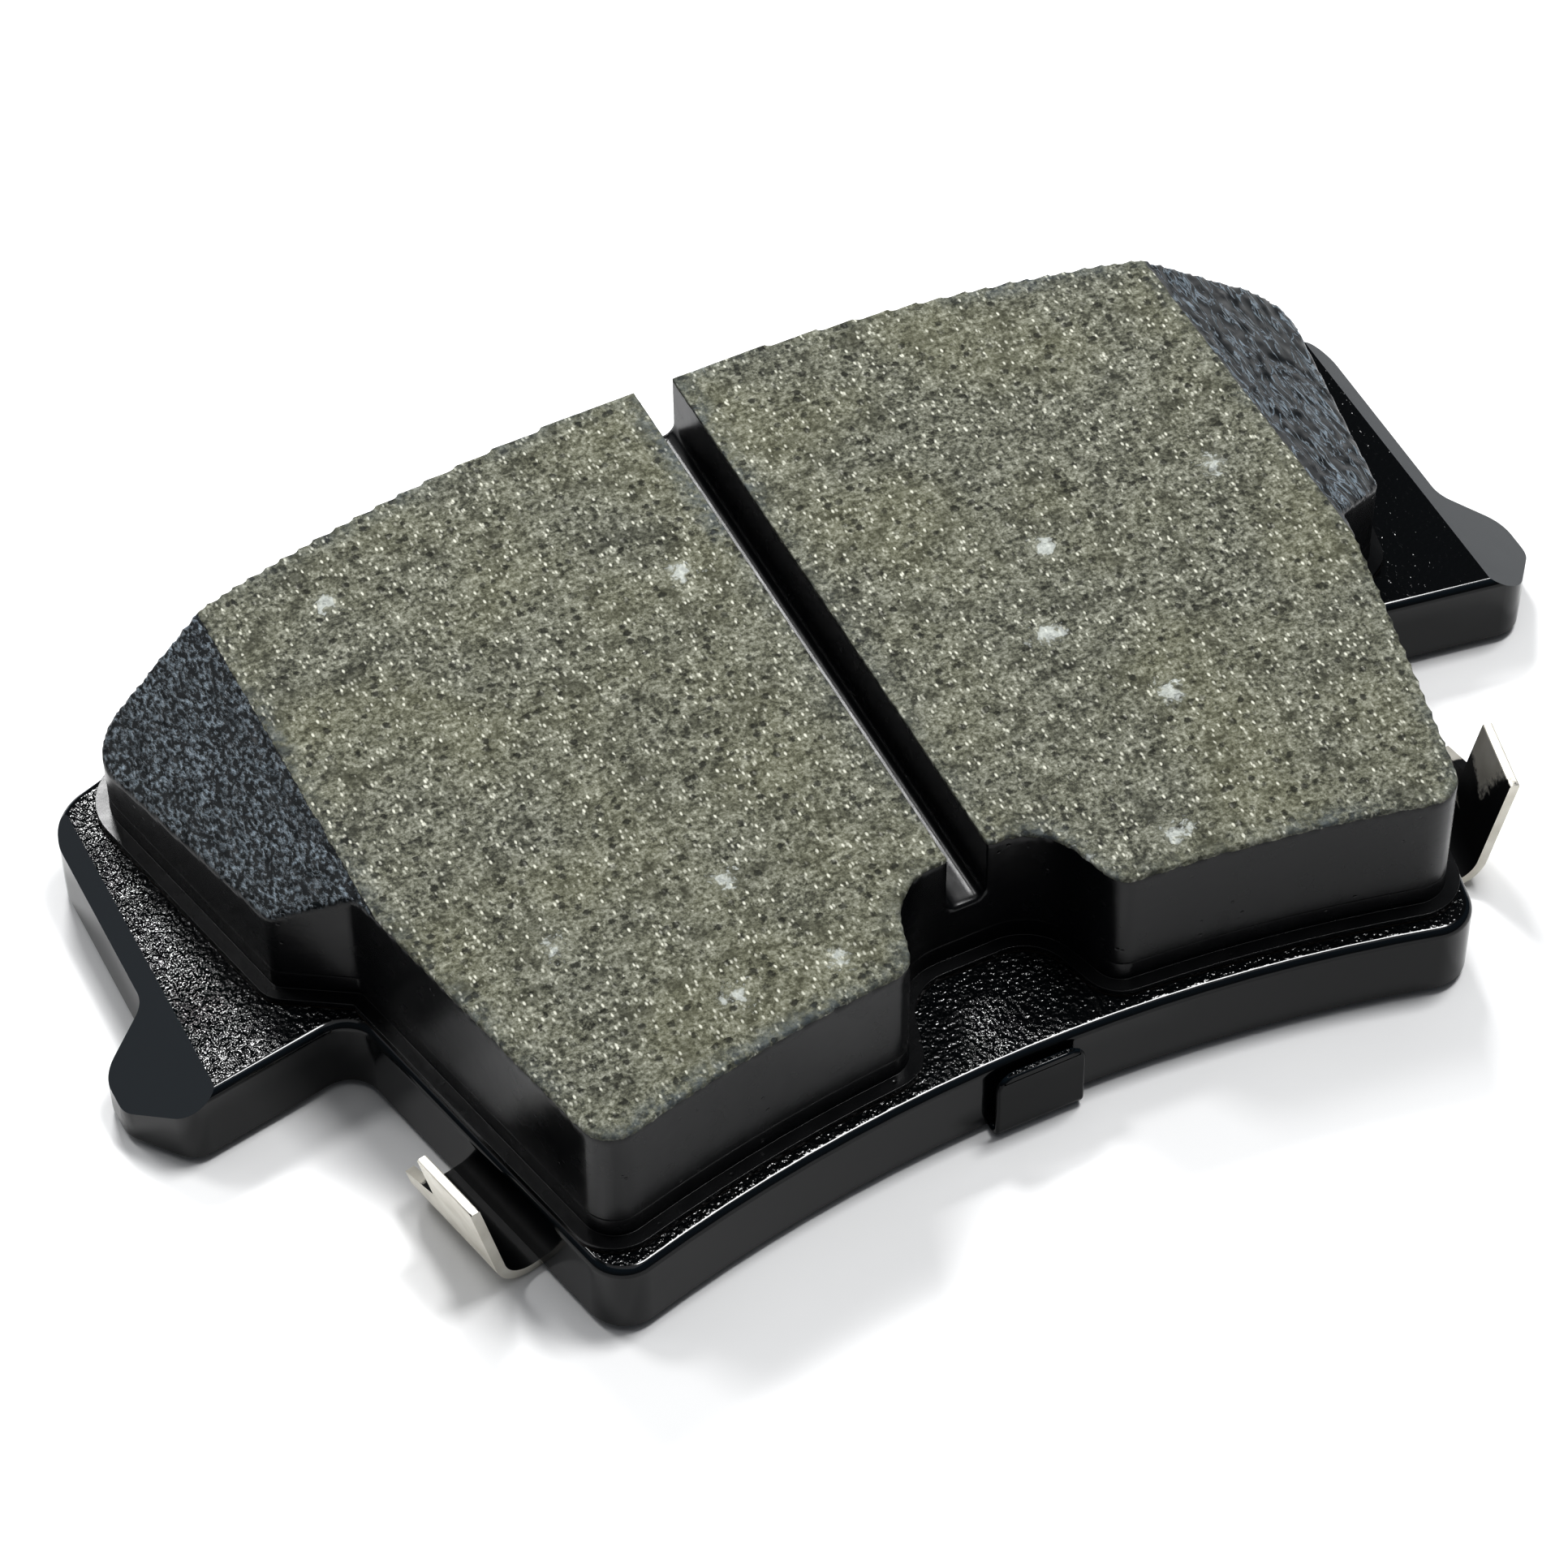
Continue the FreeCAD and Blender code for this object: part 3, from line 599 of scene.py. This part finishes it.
def remeshBlock(piece, bottom, top):
    # an even fine mesh with a clean cut foot; it also says which points are painted and
    # which are on the sloping ends
    for vertex in piece.data.vertices:
        if vertex.co.z < bottom + 0.01 * mm:
            vertex.co.z -= block["skirt"]
    remesh = piece.modifiers.new("remesh", "REMESH")
    remesh.mode = "VOXEL"
    remesh.voxel_size = block["voxel"]
    remesh.use_smooth_shade = True
    mesh = bakeModifiers(piece)
    work = bmesh.new()
    work.from_mesh(mesh)
    cut = bmesh.ops.bisect_plane(work, geom=work.verts[:] + work.edges[:] + work.faces[:],
                                 plane_co=(0, 0, bottom), plane_no=(0, 0, -1), clear_outer=True)
    rim = [edge for edge in cut["geom_cut"] if isinstance(edge, bmesh.types.BMEdge)]
    bmesh.ops.holes_fill(work, edges=rim, sides=0)
    bmesh.ops.triangulate(work, faces=[face for face in work.faces if len(face.verts) > 4])
    work.normal_update()
    painted, onEnd = [], []
    for vertex in work.verts:
        height, lift = vertex.co.z, vertex.normal.z
        beyond = abs(vertex.co.x) - block["endStart"]
        below = beyond > -0.4 * mm and height < top - 0.15 * mm
        slope = lift > 0.6 and (below or beyond > 0.1 * mm)
        onTop = height > top - 0.22 * mm and not slope
        onEnd.append(1.0 if slope or (beyond > 0.5 * mm and lift > 0.3) else 0.0)
        painted.append(0.0 if onTop else 1.0)
    work.to_mesh(mesh)
    work.free()
    return mesh, painted, onEnd


def addFloats(mesh, name, values):
    layer = mesh.attributes.new(name, "FLOAT", "POINT")
    layer.data.foreach_set("value", np.asarray(values, dtype=np.float32))


def marginAlongEdges(mesh, top):
    # 1 at the edge of the ground face, falling to 0 at the margin's inner side
    count = len(mesh.vertices)
    places = np.empty(count * 3)
    mesh.vertices.foreach_get("co", places)
    places = places.reshape(-1, 3)
    painted = np.empty(count, dtype=np.float32)
    mesh.attributes["painted"].data.foreach_get("value", painted)
    edge = np.nonzero((painted > 0.5) & (places[:, 2] > top - block["marginDepth"]))[0]
    tree = KDTree(len(edge))
    for i in edge:
        tree.insert(Vector((places[i, 0], places[i, 1], 0)), int(i))
    tree.balance()
    result = np.zeros(count)
    for i in np.nonzero(painted < 0.5)[0]:
        distance = tree.find(Vector((places[i, 0], places[i, 1], 0)))[2]
        result[i] = max(0.0, 1 - distance / block["margin"])
    return result


def endHeight(place):
    # cast pebbles on the left end and drawn ridges on the right one
    left = place.x < 0
    turn = block["leftTurn"] if left else block["rightTurn"]
    along = Vector((math.cos(turn) * place.x + math.sin(turn) * place.y,
                    -math.sin(turn) * place.x + math.cos(turn) * place.y))
    spot = Vector((along.x / block["bumpWidth"], along.y / block["bumpLength"],
                   3.7 * (place.x > 0)))    # 3.7 parts the two ends' patterns
    if left:
        return noise.noise(spot) + 0.45 * noise.noise(spot * 2.1)
    ridge = 1 - 2 * abs(noise.noise(spot * 0.75))
    return 0.7 * ridge - 0.3 + 0.35 * noise.noise(spot * 2.0)


def roughenBlock(mesh, top, bottom, onEnd):
    # relief cast into the ends, and nibbled edges round the ground face
    mesh.update()
    normals = [Vector(vertex.normal) for vertex in mesh.vertices]
    for i, vertex in enumerate(mesh.vertices):
        place = vertex.co
        if place.z < bottom + 0.3 * mm:
            continue
        if onEnd[i] > 0.5:
            relief = block["endRelief"] * (endHeight(place) - 0.7)
            vertex.co = place + normals[i] * relief
        elif place.z > top - block["edgeBand"]:
            spot = place / block["nibble"]
            bite = max(0.0, noise.noise(spot) + 0.5 * noise.noise(spot * 2.3))
            sideways = Vector((normals[i].x, normals[i].y, 0))
            vertex.co = place - sideways * block["edgeWear"] * bite
    mesh.update()


makePlate()
makeUnderlayer()
makeShim()
makeStrips()
makeBlock()
for nodeName, material in (("shim_coat", nitrileCoat), ("shim_damping", nitrileCoat),
                           ("bond_film", hotMelt)):
    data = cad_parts[nodeName].data
    data.materials.clear()
    data.materials.append(material)
print("pieces made")


# floor, light and camera

studio = {
    "floorReach": 3.0,
    "skyStrength": 0.16, "skyColour": "#E4EAF2",
    "gamma": 0.8,       # keeps the black paint deep
    "lamps": [
        # name, place in metres, size in metres, watts
        ("overheadBox", (0.04, -0.04, 0.66), 0.55, 1.2),
        ("keyLamp", (0.19, 0.0, 0.66), 0.16, 3.0),
        ("edgeLamp", (-0.18, 0.27, 0.51), 0.1, 0.8),
        ("leftBackBox", (-0.50, 0.50, 0.52), 0.55, 0.9),
        ("rightBackBox", (0.72, 0.5, 0.06), 0.16, 0.13),
        ("earGleam", (0.055, 0.335, 0.475), 0.115, 2.2),
    ],
}


def makeFloor():
    mesh = bpy.data.meshes.new("paperFloor")
    reach, level = studio["floorReach"], cadBox[0][2]
    mesh.from_pydata([(-reach, -reach, level), (reach, -reach, level), (reach, reach, level),
                      (-reach, reach, level)], [], [(0, 1, 2, 3)])
    floor = bpy.data.objects.new("paperFloor", mesh)
    bpy.context.scene.collection.objects.link(floor)
    mesh.materials.append(makeFloorPaper())


def makeLight():
    world = bpy.data.worlds.new("studio")
    bpy.context.scene.world = world
    world.use_nodes = True
    background = world.node_tree.nodes["Background"]
    background.inputs["Color"].default_value = toLinear(studio["skyColour"])
    background.inputs["Strength"].default_value = studio["skyStrength"]
    for name, place, size, watts in studio["lamps"]:
        lamp = bpy.data.lights.new(name, "AREA")
        lamp.shape = "SQUARE"
        lamp.size = size
        lamp.energy = watts
        holder = bpy.data.objects.new(name, lamp)
        holder.location = place
        holder.rotation_euler = (-Vector(place)).to_track_quat("-Z", "Y").to_euler()
        bpy.context.scene.collection.objects.link(holder)
    bpy.context.scene.view_settings.view_transform = "Standard"
    bpy.context.scene.view_settings.gamma = studio["gamma"]


shot = {
    "target": (-4.8 * mm, 2.7 * mm, 9.0 * mm), "distance": 372 * mm,
    "azimuth": -26.2, "elevation": 50.6, "roll": -0.7,      # degrees
    "lens": 125.9, "sensor": 36, "nearest": 0.01,           # mm, mm, metres
}


def makeCamera():
    lens = bpy.data.cameras.new("camera")
    lens.lens = shot["lens"]
    lens.sensor_width = shot["sensor"]
    lens.clip_start = shot["nearest"]
    camera = bpy.data.objects.new("camera", lens)
    turn = Matrix.Rotation(math.radians(shot["azimuth"]), 4, "Z")
    tilt = Matrix.Rotation(math.radians(90 - shot["elevation"]), 4, "X")
    roll = Matrix.Rotation(math.radians(shot["roll"]), 4, "Z")
    back = Matrix.Translation((0, 0, shot["distance"]))
    camera.matrix_world = Matrix.Translation(shot["target"]) @ turn @ tilt @ back @ roll
    bpy.context.scene.collection.objects.link(camera)
    bpy.context.scene.camera = camera


makeFloor()
makeLight()
makeCamera()
print("studio made")
